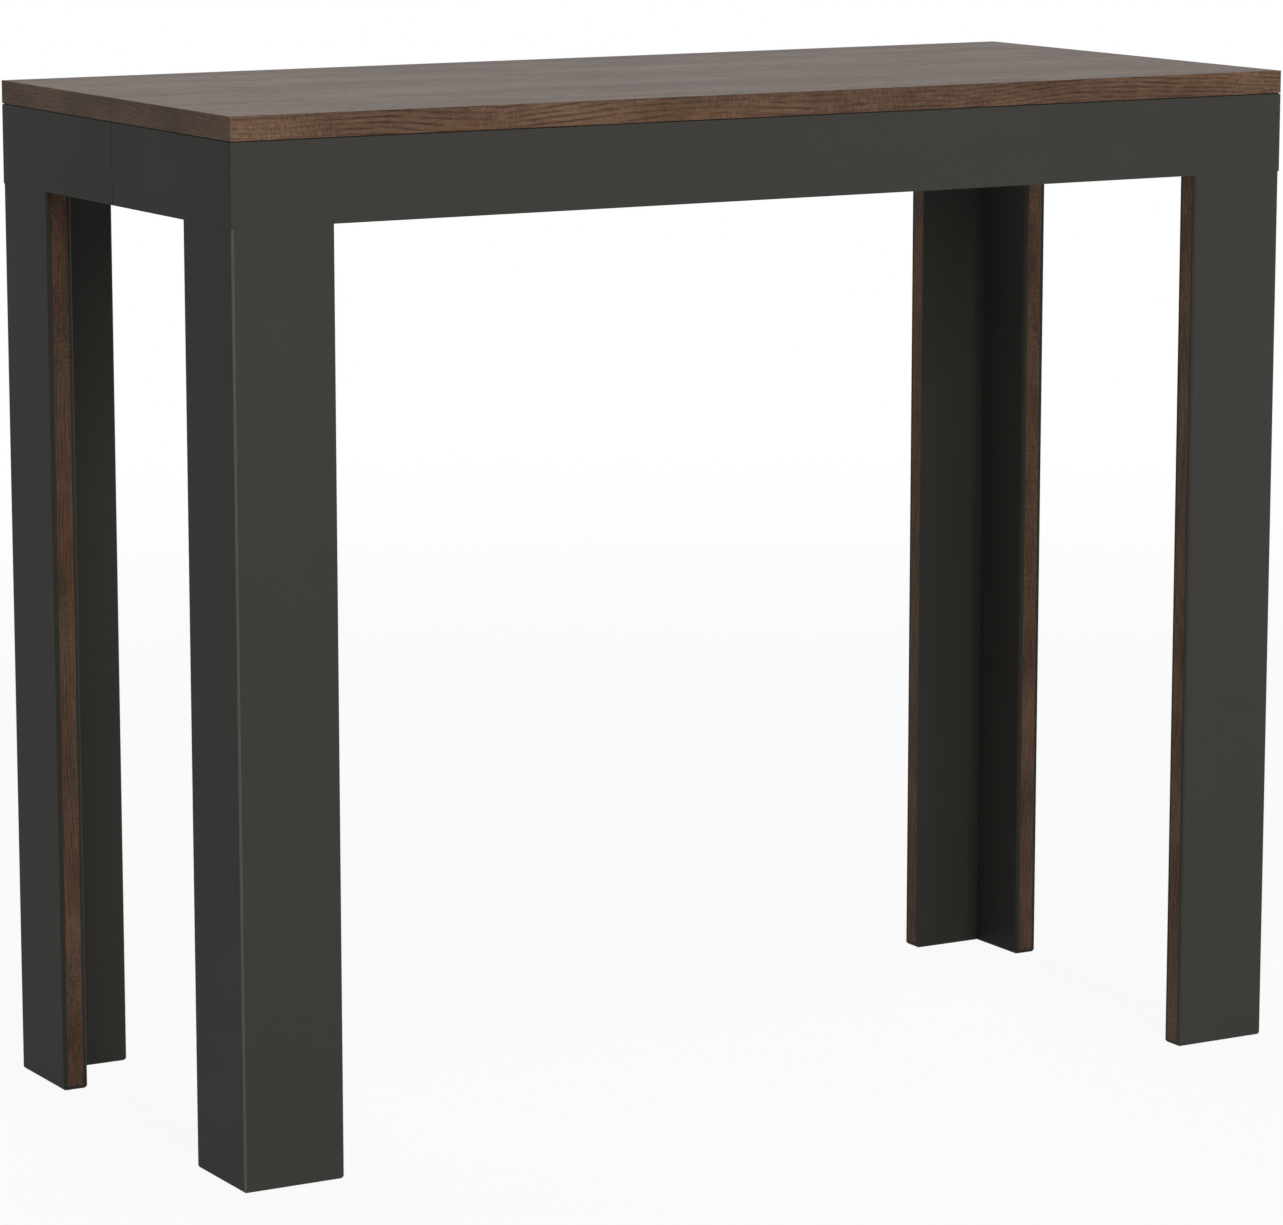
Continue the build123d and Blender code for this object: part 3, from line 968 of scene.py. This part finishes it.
# ---------------------------------------------------------------------------
# The table's sub-assemblies
# ---------------------------------------------------------------------------
@dataclass
class TableTop:
    """Both halves of the top: a decor board with walnut edging glued round its edges."""

    edging_thickness: float = 1.0 * MM
    upper_arris: float = 0.5 * MM
    lower_arris: float = 0.3 * MM
    shadow_gap: float = 0.7 * MM
    seam_arris: float = 0.1 * MM
    arris_steps: int = 4
    glued_radius: float = 4.05 * MM
    glued_depth: float = 20.0 * MM
    running_radius: float = 4.4 * MM
    running_depth: float = 12.0 * MM
    drill_start: float = 5.0 * MM
    drill_sides: int = 24

    def build(self) -> None:
        """Builds the boards and their edging, one half after the other."""
        for half in Half:
            self._board(half)
            self._long_edging(half)
            self._seam_edging(half)
            for end in End:
                self._short_edging(half, end)

    def _box(self, half: Half) -> tuple[Vector, Vector]:
        """Returns the lowest and highest corner of one half."""
        low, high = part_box(f"{half.value}_top")
        return Vector(low), Vector(high)

    def _sides(self, half: Half) -> tuple[float, float]:
        """Returns where the seam and the long outer edge of one half lie along Y."""
        low, high = self._box(half)
        return (low.y, high.y) if half is Half.REAR else (high.y, low.y)

    def _board(self, half: Half) -> None:
        """Builds the board inside the edging, with its dowel holes.

        Args:
            half: Which half.
        """
        low, high = self._box(half)
        inset = self.edging_thickness
        outline = rectangle((low.x + inset, low.y + inset), (high.x - inset, high.y - inset))
        board = extruded([outline], low.z, high.z, Matrix.Identity(4))
        piece = place_piece(board, f"{half.value}_top_board", TOP_DECOR, half.body, [f"{half.value}_top"])
        self._drill(piece, half)

    def _drill(self, piece: bpy.types.Object, half: Half) -> None:
        """Drills the dowel holes of one half into a piece at its seam.

        Args:
            piece: The board or the seam's edging.
            half: Which half it belongs to.
        """
        runs = half is Half.REAR
        outline = circle(self.running_radius if runs else self.glued_radius, self.drill_sides)
        depth = self.running_depth if runs else self.glued_depth
        seam, _ = self._sides(half)
        cutter = bmesh.new()
        for corners in solids_of("seam_dowels"):
            middle = sum(box_of(corners), Vector((0, 0, 0))) / 2
            levels = (seam + half.inward * self.drill_start, seam - half.inward * depth)
            lofted(cutter, [[Vector((middle.x + x, y, middle.z + z)) for x, z in outline] for y in levels])
        bmesh.ops.recalc_face_normals(cutter, faces=cutter.faces)
        drill = new_object(cutter, "drill")
        cut = piece.modifiers.new("drilled", "BOOLEAN")
        cut.object = drill
        cut.operation = "DIFFERENCE"
        cut.solver = "EXACT"
        bpy.context.view_layer.update()
        depsgraph = bpy.context.evaluated_depsgraph_get()
        drilled = bpy.data.meshes.new_from_object(piece.evaluated_get(depsgraph))
        piece.modifiers.clear()
        piece.data = drilled
        bpy.data.objects.remove(drill)

    def _edging_section(self, low: float, high: float, arrises: Point2) -> list[Point2]:
        """Returns the edging's section: its outer face is at 0 and its glued face is behind it.

        Args:
            low: The underside's height.
            high: The upper side's height.
            arrises: How far its lower and its upper outer corner are rounded.

        Returns:
            The outline as distance into the board, and height.
        """
        lower, upper = arrises
        turns = [math.pi / 2 * step / self.arris_steps for step in range(self.arris_steps + 1)]
        outline = [(self.edging_thickness, low)]
        outline += [(lower * (1 - math.sin(turn)), low + lower * (1 - math.cos(turn))) for turn in turns]
        outline += [(upper * (1 - math.cos(turn)), high - upper * (1 - math.sin(turn))) for turn in turns]
        return outline + [(self.edging_thickness, high)]

    def _strip(
        self,
        half: Half,
        name: str,
        finish: Finish,
        run: tuple[Vector, Vector],
        into: Vector,
        arrises: Point2,
        lift: float = 0.0,
    ) -> bpy.types.Object:
        """Builds one strip of edging.

        Args:
            half: Which half it is glued to.
            name: The piece's name.
            finish: The edging, with the grain along the strip.
            run: Where its outer face starts and ends.
            into: The direction into the board.
            arrises: How far its lower and its upper outer corner are rounded.
            lift: How far it ends above the board's underside.

        Returns:
            The strip.
        """
        low, high = self._box(half)
        start, end = run
        along = (end - start).normalized()
        axes = Matrix((into, Vector(UP), along)).transposed().to_4x4()
        axes.translation = Vector((start.x, start.y, 0))
        section = self._edging_section(low.z + lift, high.z, arrises)
        return place_piece(extruded([section], 0.0, (end - start).length, axes), name, finish, half.body)

    def _between_ends(self, half: Half, y: float) -> tuple[Vector, Vector]:
        """Finds where a long strip starts and ends, between the two short ones.

        Args:
            half: Which half it is glued to.
            y: Where its outer face lies along Y.

        Returns:
            Its two ends.
        """
        low, high = self._box(half)
        start = Vector((low.x + self.edging_thickness, y, 0))
        return start, Vector((high.x - self.edging_thickness, y, 0))

    def _long_edging(self, half: Half) -> None:
        """Builds the strip on the long outer edge.

        Args:
            half: Which half it is glued to.
        """
        _, outer = self._sides(half)
        run = self._between_ends(half, outer)
        into = Vector((0, half.inward, 0))
        arrises = (self.lower_arris, self.upper_arris)
        name = f"{half.value}_top_long_edging"
        self._strip(half, name, LONG_EDGING, run, into, arrises, self.shadow_gap)

    def _seam_edging(self, half: Half) -> None:
        """Builds the strip on the seam, with the dowel holes through it.

        Args:
            half: Which half it is glued to.
        """
        seam, _ = self._sides(half)
        run = self._between_ends(half, seam)
        into = Vector((0, -half.inward, 0))
        arrises = (self.seam_arris, self.seam_arris)
        strip = self._strip(half, f"{half.value}_top_seam_edging", LONG_EDGING, run, into, arrises)
        self._drill(strip, half)

    def _short_edging(self, half: Half, end: End) -> None:
        """Builds the strip on one end, over the whole depth of the half.

        Args:
            half: Which half it is glued to.
            end: Which end of the table it covers.
        """
        low, high = self._box(half)
        x = low.x if end is End.LEFT else high.x
        run = (Vector((x, low.y, 0)), Vector((x, high.y, 0)))
        into = Vector((-end.outward, 0, 0))
        arrises = (self.lower_arris, self.upper_arris)
        name = f"{half.value}_top_{end.value}_edging"
        self._strip(half, name, SHORT_EDGING, run, into, arrises, self.shadow_gap)


@dataclass
class Frame:
    """The aprons under the top, mitred at the corners and parted at the seam."""

    arris: float = 0.15 * MM

    def build(self) -> None:
        """Builds the long and the short aprons of both halves."""
        for half in Half:
            for part in ("", "left_", "right_"):
                node = f"{half.value}_{part}apron"
                mesh = soften(node_mesh(node), self.arris, mating=is_mitre)
                place_piece(mesh, f"{node}_board", ANTHRACITE, half.body, [node])


@dataclass
class Legs:
    """Four legs of two mitred panels each, with walnut let into their free edges and a painted highlight on
    the outer corner.
    """

    arris: float = 0.4 * MM
    edging_arris: float = 0.15 * MM
    # How far a face may turn from the corner's direction and still get the painted highlight.
    highlight_reach: float = math.radians(24)

    def build(self) -> None:
        """Builds every leg's panels and edging."""
        for half in Half:
            face_name = "back" if half is Half.REAR else "front"
            for end in End:
                leg = f"{half.value}_{end.value}_leg"
                for part in (f"{face_name}_panel", "end_panel"):
                    node = f"{leg}_{part}"
                    mesh = soften(node_mesh(node), self.arris, mating=self._mates)
                    # The outer corner's bevel gets the lighter melamine of the painted highlight.
                    self._paint_corner_highlight(mesh, Vector((end.outward, -half.inward, 0.0)))
                    place_piece(mesh, f"{node}_board", ANTHRACITE, half.body, [node], marked=CORNER_HIGHLIGHT)
                strips = soften(node_mesh(f"{leg}_edge_bands"), self.edging_arris, 2)
                place_piece(strips, f"{leg}_edging", LEG_EDGING, half.body, [f"{leg}_edge_bands"])

    def _paint_corner_highlight(self, mesh: bmesh.types.BMesh, outward: Vector) -> None:
        """Gives the bevel on a leg's outer corner a lighter melamine: a painted highlight.

        Args:
            mesh: One of the leg's panels.
            outward: The direction in which the corner points.
        """
        for face in mesh.faces:
            if face.normal.angle(outward, math.pi) < self.highlight_reach:
                face.material_index = 1

    @staticmethod
    def _mates(face: bmesh.types.BMFace) -> bool:
        """Says whether a face is the mitre between a leg's panels, or its top."""
        return face.normal.z > 0.9 or is_mitre(face)


@dataclass
class GuideBank:
    """One bank of telescopic bars and the nylon pieces that they run on."""

    end: End
    count: int = 7
    width: float = 17.4 * MM
    height: float = 40.0 * MM
    web: float = 8.3 * MM
    wall: float = 2.0 * MM
    neck: float = 5.1 * MM
    neck_height: float = 4.0 * MM
    head: float = 2.6 * MM
    head_height: float = 10.0 * MM
    cavity: float = 6.6 * MM
    cavity_height: float = 14.0 * MM
    mouth_height: float = 6.0 * MM
    fillet: float = 0.5 * MM
    groove: float = 0.5 * MM
    groove_places: tuple[float, float] = (0.28, 0.72)
    glide_arris: float = 0.2 * MM

    def build(self) -> None:
        """Builds the bars and their nylon pieces, from the outermost bar inwards."""
        for number in range(1, self.count + 1):
            self._bar(number)
            node = f"{self.end.value}_guide_glides_{number}"
            mesh = soften(node_mesh(node), self.glide_arris, 2)
            place_piece(mesh, f"{self.end.value}_nylon_glides_{number}", NYLON, body_of(node), [node])

    def _bar(self, number: int) -> None:
        """Builds one bar in the place of its solid.

        Args:
            number: The bar's number in the bank.
        """
        node = f"{self.end.value}_guide_bar_{number}"
        low, high = (Vector(corner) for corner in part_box(node))
        rail = self.neck + self.head if number > 1 else 0.0
        outer = high.x - rail if self.end is End.RIGHT else low.x + rail
        middle = (low.z + high.z) / 2
        axes = Matrix(((-self.end.outward, 0, 0, outer), (0, 0, 1, 0), (0, 1, 0, middle), (0, 0, 0, 1)))
        loops = [self._outline(number > 1, number < self.count)] + self._chambers(number < self.count)
        mesh = extruded(loops, low.y, high.y, axes)
        place_piece(mesh, f"{node}_profile", ALUMINIUM, body_of(node), [node])

    def _outline(self, has_rail: bool, has_channel: bool) -> list[Point2]:
        """Returns a bar's outline, from its lower outer corner round.

        Args:
            has_rail: Whether the T rail stands out on its outer side.
            has_channel: Whether the channel is cut into its inner side.

        Returns:
            The outline as distance from the outer side face, and height.
        """
        half = self.height / 2
        points = [(0.0, -half), *self._grooves(-half), (self.width, -half)]
        if has_channel:
            mouth, depth = self.mouth_height / 2, self.cavity_height / 2
            lip = self.web + self.cavity
            points += [(self.width, -mouth), (lip, -mouth), (lip, -depth), (self.web, -depth)]
            points += [(self.web, depth), (lip, depth), (lip, mouth), (self.width, mouth)]
        points += [(self.width, half), *reversed(self._grooves(half)), (0.0, half)]
        if has_rail:
            neck, head = self.neck_height / 2, self.head_height / 2
            tip = -self.neck - self.head
            points += [(0.0, neck), (-self.neck, neck), (-self.neck, head), (tip, head)]
            points += [(tip, -head), (-self.neck, -head), (-self.neck, -neck), (0.0, -neck)]
        return rounded(points, self.fillet)

    def _grooves(self, level: float) -> list[Point2]:
        """Returns the two locating grooves that run along a bar's upper or lower face.

        Args:
            level: The face's height above the bar's middle.

        Returns:
            The grooves' corners, from the outer side inwards.
        """
        inward = -math.copysign(self.groove, level)
        points: list[Point2] = []
        for share in self.groove_places:
            x = share * self.width
            points += [(x - self.groove, level), (x, level + inward), (x + self.groove, level)]
        return points

    def _chambers(self, has_channel: bool) -> list[list[Point2]]:
        """Returns the outlines of a bar's three hollow chambers.

        Args:
            has_channel: Whether the middle one stops short of a channel.

        Returns:
            The outlines.
        """
        inner = self.web if has_channel else self.width
        middle = self.cavity_height / 2
        near = middle + self.wall
        far = self.height / 2 - self.wall
        boxes = [
            rectangle((self.wall, -middle), (inner - self.wall, middle)),
            rectangle((self.wall, near), (self.width - self.wall, far)),
            rectangle((self.wall, -far), (self.width - self.wall, -near)),
        ]
        return [rounded(box, self.fillet) for box in boxes]


@dataclass(frozen=True)
class Screw:
    """A flanged hexagon screw with a cross recess and a coarse thread."""

    head_height: float = 2.4 * MM
    head_sides: int = 24
    flange_radius: float = 3.7 * MM
    flange_height: float = 0.6 * MM
    flange_rim: float = 0.24 * MM
    hexagon_radius: float = 3.1 * MM
    hexagon_root: float = 0.1 * MM
    root_share: float = 1.06
    crown: float = 0.35 * MM
    crown_share: float = 0.86
    recess_reach: float = 1.9 * MM
    recess_width: float = 0.5 * MM
    recess_depth: float = 1.3 * MM
    recess_taper: float = 0.6
    core_radius: float = 1.45 * MM
    thread_radius: float = 1.98 * MM
    pitch: float = 1.75 * MM
    ridge_slope: float = 3.4
    point_length: float = 2.2 * MM
    point_share: float = 0.12
    sides: int = 12
    rows_per_turn: int = 4

    def add_to(self, mesh: bmesh.types.BMesh, seat: Vector, axis: Vector, length: float) -> None:
        """Adds one screw.

        Args:
            mesh: The bmesh that it is added to.
            seat: The point under the middle of its head.
            axis: The direction that it is driven in.
            length: How far its shank reaches from the seat.
        """
        turn = axis.to_track_quat("Z", "Y").to_matrix().to_4x4()
        turn.translation = seat
        self._head(mesh, turn)
        self._shank(mesh, turn, length)

    def _ring(self, turn: Matrix, radius: float, level: float, corners: int = 0) -> list[Vector]:
        """Returns one ring of the head, round or as a polygon.

        Args:
            turn: Takes the screw's axes to the row frame.
            radius: The ring's radius, to the corners of a polygon.
            level: Its height along the screw.
            corners: How many corners a polygon has, or 0 for a round ring.

        Returns:
            The points.
        """
        points = []
        for index in range(self.head_sides):
            angle = math.tau * index / self.head_sides
            reach = radius
            if corners:
                sector = math.pi / corners
                reach = radius * math.cos(sector) / math.cos(angle % (2 * sector) - sector)
            points.append(turn @ Vector((reach * math.cos(angle), reach * math.sin(angle), level)))
        return points

    def _head(self, mesh: bmesh.types.BMesh, turn: Matrix) -> None:
        """Adds the flange, the hexagon and its cross recess.

        Args:
            mesh: The bmesh.
            turn: Takes the screw's axes to the row frame.
        """
        top = -self.head_height
        rings = [
            self._ring(turn, self.flange_radius, 0.0),
            self._ring(turn, self.flange_radius, -self.flange_rim),
            self._ring(turn, self.hexagon_radius * self.root_share, -self.flange_height),
            self._ring(turn, self.hexagon_radius, -self.flange_height - self.hexagon_root, 6),
            self._ring(turn, self.hexagon_radius, top + self.crown, 6),
            self._ring(turn, self.hexagon_radius * self.crown_share, top),
        ]
        head = walled(mesh, rings)
        mesh.faces.new(head[0])
        cross = [
            [turn @ Vector((x * share, y * share, level)) for x, y in self._cross()]
            for share, level in ((1.0, top), (self.recess_taper, top + self.recess_depth))
        ]
        mouth, bottom = walled(mesh, cross)
        mesh.faces.new(bottom)
        rims = (head[-1], mouth)
        edges = [mesh.edges.get(pair) for rim in rims for pair in zip(rim, rim[1:] + rim[:1])]
        bmesh.ops.triangle_fill(mesh, use_beauty=True, edges=edges)

    def _cross(self) -> list[Point2]:
        """Returns the outline of the cross recess."""
        reach, width = self.recess_reach, self.recess_width
        arm = [(reach, -width), (reach, width), (width, width)]
        points: list[Point2] = []
        for quarter in range(4):
            turn = Matrix.Rotation(quarter * math.pi / 2, 2)
            points += [tuple(turn @ Vector(point)) for point in arm]
        return points

    def _shank(self, mesh: bmesh.types.BMesh, turn: Matrix, length: float) -> None:
        """Adds the threaded shank with its point.

        Args:
            mesh: The bmesh.
            turn: Takes the screw's axes to the row frame.
            length: How far it reaches from the seat.
        """
        rows = round(length / self.pitch * self.rows_per_turn)
        rings = []
        for row in range(rows + 1):
            level = length * row / rows
            taper = min(1.0, (length - level) / self.point_length + self.point_share)
            ring = []
            for index in range(self.sides):
                share = (level / self.pitch - index / self.sides) % 1.0
                ridge = max(0.0, 1 - abs(share - 0.5) * self.ridge_slope)
                radius = (self.core_radius + (self.thread_radius - self.core_radius) * ridge) * taper
                angle = math.tau * index / self.sides
                ring.append(turn @ Vector((radius * math.cos(angle), radius * math.sin(angle), level)))
            rings.append(ring)
        lofted(mesh, rings)


@dataclass
class Fixings:
    """The metal angles under the top and the screws that hold them."""

    bend: float = 0.7 * MM
    head_share: float = 1.3
    screw: Screw = Screw()

    def build(self) -> None:
        """Builds the angles and the screws of both halves."""
        for half in Half:
            for kind in ("leg_brackets", "top_cleats", "guide_angles"):
                node = f"{half.value}_{kind}"
                mesh = soften(node_mesh(node), self.bend, 2)
                place_piece(mesh, f"{node}_plated", ZINC, half.body, [node])
            for kind in ("screws", "guide_screws"):
                self._screws(f"{half.value}_{kind}", half)

    def _screws(self, node: str, half: Half) -> None:
        """Builds the screws of one CAD node, each in the place of its solid.

        Args:
            node: The node's name.
            half: Which half they hold.
        """
        mesh = bmesh.new()
        for corners in solids_of(node):
            self.screw.add_to(mesh, *self._seat(corners))
        place_piece(mesh, f"{node}_threaded", ZINC, half.body, [node], smooth=True)

    def _seat(self, corners: Sequence[Vector]) -> tuple[Vector, Vector, float]:
        """Finds how a screw's solid lies.

        Args:
            corners: The solid's corners.

        Returns:
            The point under its head, the direction that it is driven in, and its shank's length.
        """
        low, high = box_of(corners)
        size = high - low
        main = max(range(3), key=lambda axis: size[axis])
        middle = (low + high) / 2
        across = (main + 1) % 3
        least = self.screw.thread_radius * self.head_share
        head = [c[main] for c in corners if abs(c[across] - middle[across]) > least]
        way = 1.0 if sum(head) / len(head) < middle[main] else -1.0
        seat = middle.copy()
        seat[main] = (low[main] if way > 0 else high[main]) + way * self.screw.head_height
        return seat, Vector(AXES[main]) * way, size[main] - self.screw.head_height


@dataclass
class SeamDowels:
    """The beech dowels that line the two halves up when they meet."""

    flutes: int = 18
    sides_per_flute: int = 4
    flute_depth: float = 0.25 * MM
    chamfer: float = 1.0 * MM
    end_share: float = 0.75

    def build(self) -> None:
        """Builds the fluted dowels in the places of their solids."""
        mesh = bmesh.new()
        for corners in solids_of("seam_dowels"):
            self._dowel(mesh, *box_of(corners))
        place_piece(mesh, "seam_dowels_fluted", BEECH, body_of("seam_dowels"), ["seam_dowels"])

    def _dowel(self, mesh: bmesh.types.BMesh, low: Vector, high: Vector) -> None:
        """Adds one dowel along Y.

        Args:
            mesh: The bmesh that it is added to.
            low: The lowest corner of its box.
            high: The highest corner.
        """
        radius = (high.z - low.z) / 2
        middle = (low + high) / 2
        outline = circle(1.0, self.flutes * self.sides_per_flute)
        levels = (
            (low.y, self.end_share),
            (low.y + self.chamfer, 1.0),
            (high.y - self.chamfer, 1.0),
            (high.y, self.end_share),
        )
        rings = []
        for level, share in levels:
            ring = []
            for index, (x, z) in enumerate(outline):
                flute = self.flute_depth if index % self.sides_per_flute == 0 else 0.0
                reach = (radius - flute) * share
                ring.append(Vector((middle.x + reach * x, level, middle.z + reach * z)))
            rings.append(ring)
        lofted(mesh, rings)


# ---------------------------------------------------------------------------
# Studio
# ---------------------------------------------------------------------------
@dataclass(frozen=True)
class SoftBox:
    """A rectangular soft lamp. Its heading is measured from the table's front, towards the right end."""

    name: str
    heading: float
    rise: float
    width: float
    height: float
    power: float
    distance: float = 7.0

    def place(self, aim: Vector) -> Vector:
        """Returns where the lamp hangs.

        Args:
            aim: The point that it lights.

        Returns:
            The place.
        """
        around, up = math.radians(self.heading), math.radians(self.rise)
        way = Vector((math.sin(around) * math.cos(up), -math.cos(around) * math.cos(up), math.sin(up)))
        return aim + way * self.distance


@dataclass
class Studio:
    """A plain pale floor, soft lamps and the camera."""

    floor_reach: float = 14.0
    floor_level: float = -0.2 * MM
    floor_dark: Colour = (0.78, 0.78, 0.78, 1.0)
    floor_light: Colour = (0.8, 0.8, 0.8, 1.0)
    floor_lift: float = 0.93
    fade_start: float = 1.6
    fade_end: float = 3.4
    camera_place: Point3 = (-1.98417, -3.42913, 1.05401)
    camera_heading: float = 0.523
    camera_pitch: float = 0.1753
    lens: float = 144.8
    sensor_width: float = 36.0
    clip: Point2 = (0.1, 100.0)
    lamp_aim: Point3 = (0.0, 0.0, 0.42)
    lamps: tuple[SoftBox, ...] = (
        SoftBox("key_lamp", 1.0, 20.0, 3.4, 3.4, 286.0),
        SoftBox("high_lamp", -16.0, 58.0, 3.4, 3.4, 108.0),
        SoftBox("rear_lamp", 180.0, 26.0, 5.0, 3.4, 180.0),
    )

    def build(self) -> None:
        """Builds the studio."""
        self._world()
        self._floor()
        for lamp in self.lamps:
            self._lamp(lamp)
        self._camera()
        bpy.context.scene.view_settings.view_transform = "Standard"

    @staticmethod
    def _seen(graph: Graph) -> Socket:
        """Finds the rays that show the background: the camera's, and those off gloss or through glass.

        Args:
            graph: The graph that asks.

        Returns:
            1 for these rays and 0 for the others.
        """
        path = graph.node("ShaderNodeLightPath")
        seen = path.output("Is Camera Ray") + path.output("Is Glossy Ray")
        return graph.step(seen + path.output("Is Transmission Ray"), 0.0, 1.0)

    def _world(self) -> None:
        """Makes the world white where it is seen, and dark elsewhere, so that only the lamps give light."""
        world = bpy.data.worlds.new("studio")
        bpy.context.scene.world = world
        graph = Graph(world)
        sockets = {"Color": WHITE, "Strength": self._seen(graph)}
        white = graph.node("ShaderNodeBackground", sockets=sockets)
        graph.node("ShaderNodeOutputWorld", sockets={"Surface": white})

    def _floor(self) -> None:
        """Lays the floor, which runs out to white and keeps the table's shadow."""
        graph = Graph(bpy.data.materials.new("studio_floor"))
        place = graph.place()
        distance = graph.node("ShaderNodeVectorMath", {"operation": "LENGTH"}, {0: place}, "Value")
        far = graph.step(distance, self.fade_start, self.fade_end)
        cloud = graph.noise(place, 1.3, 2.0)
        colour = graph.mix(0.5 + cloud * 0.3, self.floor_dark, self.floor_light)
        matt = graph.node("ShaderNodeBsdfDiffuse", sockets={"Color": colour})
        white = graph.node("ShaderNodeEmission", sockets={"Color": WHITE, "Strength": 1.0})
        share = self._seen(graph) * (self.floor_lift + far * (1.0 - self.floor_lift))
        shader = graph.node("ShaderNodeMixShader", sockets={0: share, 1: matt, 2: white})
        graph.node("ShaderNodeOutputMaterial", sockets={"Surface": shader})
        reach = self.floor_reach
        mesh = bmesh.new()
        corners = rectangle((-reach, -reach), (reach, reach))
        mesh.faces.new([mesh.verts.new((x, y, self.floor_level)) for x, y in corners])
        floor = new_object(mesh, "studio_floor")
        floor.data.materials.append(graph.owner)

    def _lamp(self, lamp: SoftBox) -> None:
        """Hangs one soft lamp.

        Args:
            lamp: Its direction, size and power.
        """
        data = bpy.data.lights.new(lamp.name, "AREA")
        data.shape = "RECTANGLE"
        data.size, data.size_y = lamp.width, lamp.height
        data.energy = lamp.power
        holder = bpy.data.objects.new(lamp.name, data)
        aim = Vector(self.lamp_aim)
        holder.location = lamp.place(aim)
        holder.rotation_euler = (aim - holder.location).to_track_quat("-Z", "Y").to_euler()
        holder.visible_glossy = False
        bpy.context.scene.collection.objects.link(holder)

    def _camera(self) -> None:
        """Sets the camera up."""
        data = bpy.data.cameras.new("camera")
        data.lens = self.lens
        data.sensor_width = self.sensor_width
        data.clip_start, data.clip_end = self.clip
        camera = bpy.data.objects.new("camera", data)
        camera.location = self.camera_place
        camera.rotation_euler = (math.pi / 2 - self.camera_pitch, 0.0, -self.camera_heading)
        bpy.context.scene.collection.objects.link(camera)
        bpy.context.scene.camera = camera


def write_sizes() -> None:
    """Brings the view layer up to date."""
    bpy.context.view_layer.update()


def main() -> None:
    """Builds the studio and the table, one sub-assembly after the other."""
    logging.basicConfig(level=logging.INFO, format="%(message)s")
    parts: Sequence[Any] = (
        Studio(),
        TableTop(),
        Frame(),
        Legs(),
        GuideBank(End.LEFT),
        GuideBank(End.RIGHT),
        Fixings(),
        SeamDowels(),
    )
    for part in parts:
        LOG.info("building %s", type(part).__name__)
        part.build()
    write_sizes()


if __name__ == "__main__":
    main()
